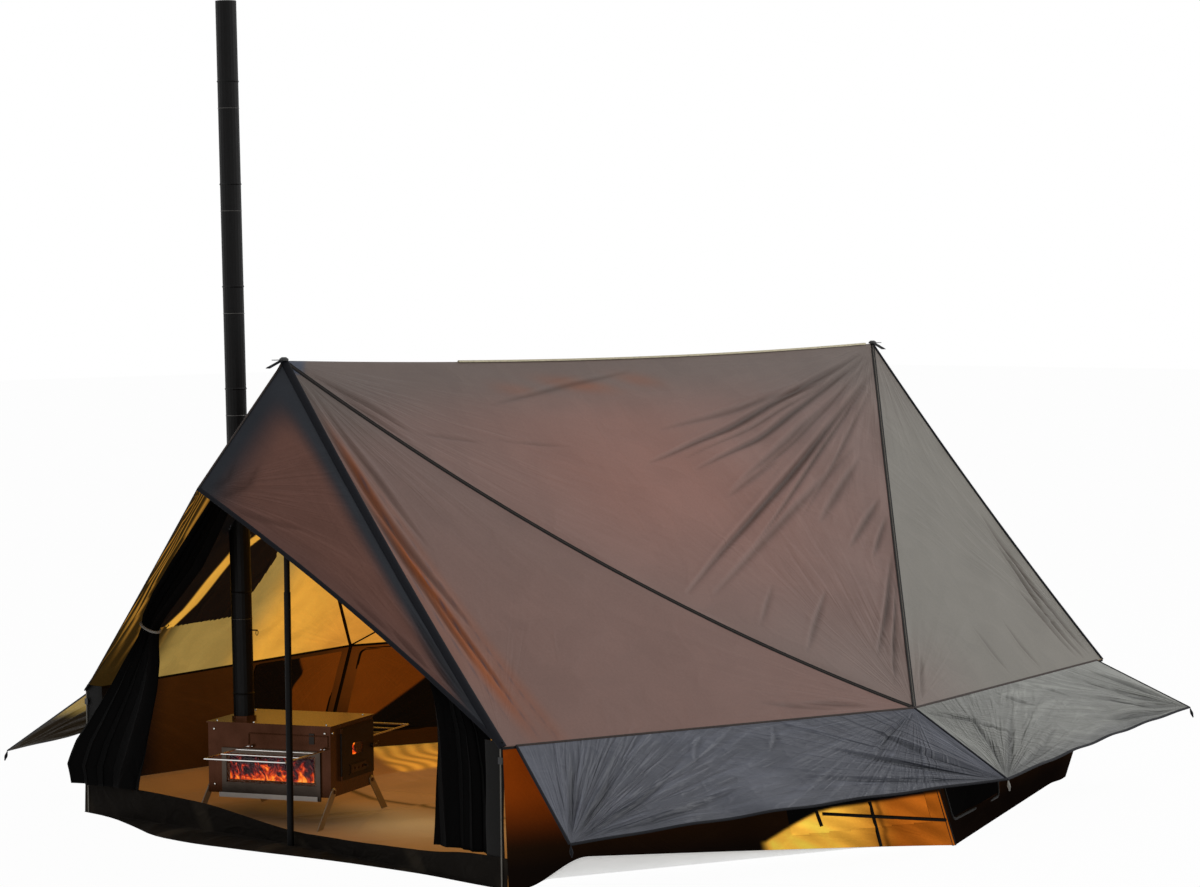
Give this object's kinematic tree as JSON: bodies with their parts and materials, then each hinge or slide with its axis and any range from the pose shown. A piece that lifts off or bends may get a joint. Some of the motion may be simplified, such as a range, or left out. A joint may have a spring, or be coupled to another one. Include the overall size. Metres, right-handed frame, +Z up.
{
  "type": "hot tent",
  "caption": "Ridge tent on two upright poles with flared skirts, an open curtained door, mesh windows and a wood stove whose tall flue passes through a roof patch.",
  "frame": {"origin": "on the ground under the middle of the ridge", "axes": "+Z up, -Y out of the open front door, +X to the right as seen from the front"},
  "size_m": [4.5398, 4.5996, 3.5308],
  "materials": {
    "roof_cloth": "fine woven, lightly coated, warm grey-brown",
    "hood_cloth": "fine woven, dark slate",
    "skirt_cloth": "fine woven, slate grey with a faint sheen",
    "wall_cloth": "fine woven, brown, lit through from inside",
    "black_cloth": "matte black mesh-backed cloth",
    "window_mesh": "fine black netting",
    "groundsheet": "coated, tan, creased",
    "jack_cloth": "matte heat-proof cloth",
    "pole_metal": "satin black tube",
    "cap_plastic": "matte black",
    "strap_webbing": "woven black webbing",
    "stove_steel": "dark polished steel with heat tint",
    "frame_steel": "plain satin steel",
    "door_steel": "dark heat-proof paint",
    "stove_glass": "heat-proof glass, clear",
    "rack_wire": "bright wire",
    "leg_steel": "bare steel, worn",
    "grate_iron": "rough black",
    "flue_steel": "smoked dark steel"
  },
  "bodies": {
    "tent": {"roof_right_front": "roof_cloth", "roof_right_middle": "roof_cloth", "roof_right_rear": "roof_cloth", "roof_left_front": "roof_cloth", "roof_left_middle": "roof_cloth", "roof_left_rear": "roof_cloth", "hood_front_right": "hood_cloth", "hood_front_left": "hood_cloth", "hood_rear_right": "hood_cloth", "hood_rear_left": "hood_cloth", "skirt_right_front": "skirt_cloth", "skirt_right_rear": "skirt_cloth", "skirt_left_front": "skirt_cloth", "skirt_left_rear": "skirt_cloth", "wall_right_front": "wall_cloth", "wall_right_rear": "wall_cloth", "wall_left_front": "wall_cloth", "wall_left_rear": "wall_cloth", "window_right_front": "window_mesh", "window_right_rear": "window_mesh", "window_left_front": "window_mesh", "window_left_rear": "window_mesh", "front_sill": "black_cloth", "curtain_left": "black_cloth", "curtain_right": "black_cloth", "rear_door": "black_cloth", "groundsheet": "groundsheet", "stove_jack": "jack_cloth", "front_pole_lower": "pole_metal", "front_pole_upper": "pole_metal", "rear_pole_lower": "pole_metal", "rear_pole_upper": "pole_metal", "apex_cap_front": "cap_plastic", "apex_cap_rear": "cap_plastic", "corner_strap_right": "strap_webbing", "corner_strap_left": "strap_webbing", "firebox": "stove_steel", "front_glass": "stove_glass", "front_glass_frame": "frame_steel", "fire_grate": "grate_iron", "chimney_1": "flue_steel", "chimney_2": "flue_steel", "chimney_3": "flue_steel", "chimney_4": "flue_steel", "chimney_5": "flue_steel", "chimney_6": "flue_steel", "chimney_7": "flue_steel"},
    "stove_door": {"stove_door": "door_steel", "door_glass": "stove_glass"},
    "door_handle": {"door_handle": "frame_steel"},
    "air_slide": {"air_slide": "frame_steel"},
    "leg_front_left": {"leg_front_left": "leg_steel"},
    "leg_rear_left": {"leg_rear_left": "leg_steel"},
    "leg_front_right": {"leg_front_right": "leg_steel"},
    "leg_rear_right": {"leg_rear_right": "leg_steel"},
    "rack_front": {"rack_front": "rack_wire"},
    "rack_rear": {"rack_rear": "rack_wire"},
    "damper": {"damper": "flue_steel"},
    "buckle_right": {"strap_buckle_right": "cap_plastic"},
    "buckle_left": {"strap_buckle_left": "cap_plastic"}
  },
  "joints": [
    {"name": "stove_door_hinge", "type": "hinge", "parent": "tent", "child": "stove_door", "pos_m": [-0.26283, -1.35109, 0.185], "axis": [0, 0, 1], "range_deg": [-110, 0]},
    {"name": "door_handle_turn", "type": "hinge", "parent": "stove_door", "child": "door_handle", "pos_m": [-0.38489, -1.07376, 0.3], "axis": [0.9135, 0.4067, 0], "range_deg": [0, 85]},
    {"name": "air_slide_travel", "type": "slide", "parent": "stove_door", "child": "air_slide", "axis": [-0.4067, 0.9135, 0], "range_m": [-0.015, 0.015]},
    {"name": "leg_front_left_fold", "type": "hinge", "parent": "tent", "child": "leg_front_left", "pos_m": [-0.77961, -1.65178, 0.147], "axis": [0.9135, 0.4067, 0], "range_deg": [-130, 0]},
    {"name": "leg_rear_left_fold", "type": "hinge", "parent": "tent", "child": "leg_rear_left", "pos_m": [-0.93254, -1.30829, 0.147], "axis": [0.9135, 0.4067, 0], "range_deg": [0, 130]},
    {"name": "leg_front_right_fold", "type": "hinge", "parent": "tent", "child": "leg_front_right", "pos_m": [-0.24446, -1.41351, 0.147], "axis": [0.9135, 0.4067, 0], "range_deg": [-130, 0]},
    {"name": "leg_rear_right_fold", "type": "hinge", "parent": "tent", "child": "leg_rear_right", "pos_m": [-0.39739, -1.07002, 0.147], "axis": [0.9135, 0.4067, 0], "range_deg": [0, 90]},
    {"name": "rack_front_fold", "type": "hinge", "parent": "tent", "child": "rack_front", "pos_m": [-0.41253, -1.52994, 0.333], "axis": [0.9135, 0.4067, 0], "range_deg": [-90, 0]},
    {"name": "rack_rear_fold", "type": "hinge", "parent": "tent", "child": "rack_rear", "pos_m": [-0.59638, -1.11702, 0.333], "axis": [0.9135, 0.4067, 0], "range_deg": [0, 90]},
    {"name": "damper_turn", "type": "hinge", "parent": "tent", "child": "damper", "pos_m": [-0.70558, -1.52958, 0.81998], "axis": [0.9135, 0.4067, 0.0104], "range_deg": [0, 90]},
    {"name": "buckle_right_slide", "type": "slide", "parent": "tent", "child": "buckle_right", "axis": [0, 0, 1], "range_m": [-0.3, 0]},
    {"name": "buckle_left_slide", "type": "slide", "parent": "tent", "child": "buckle_left", "axis": [0, 0, 1], "range_m": [-0.3, 0]}
  ]
}
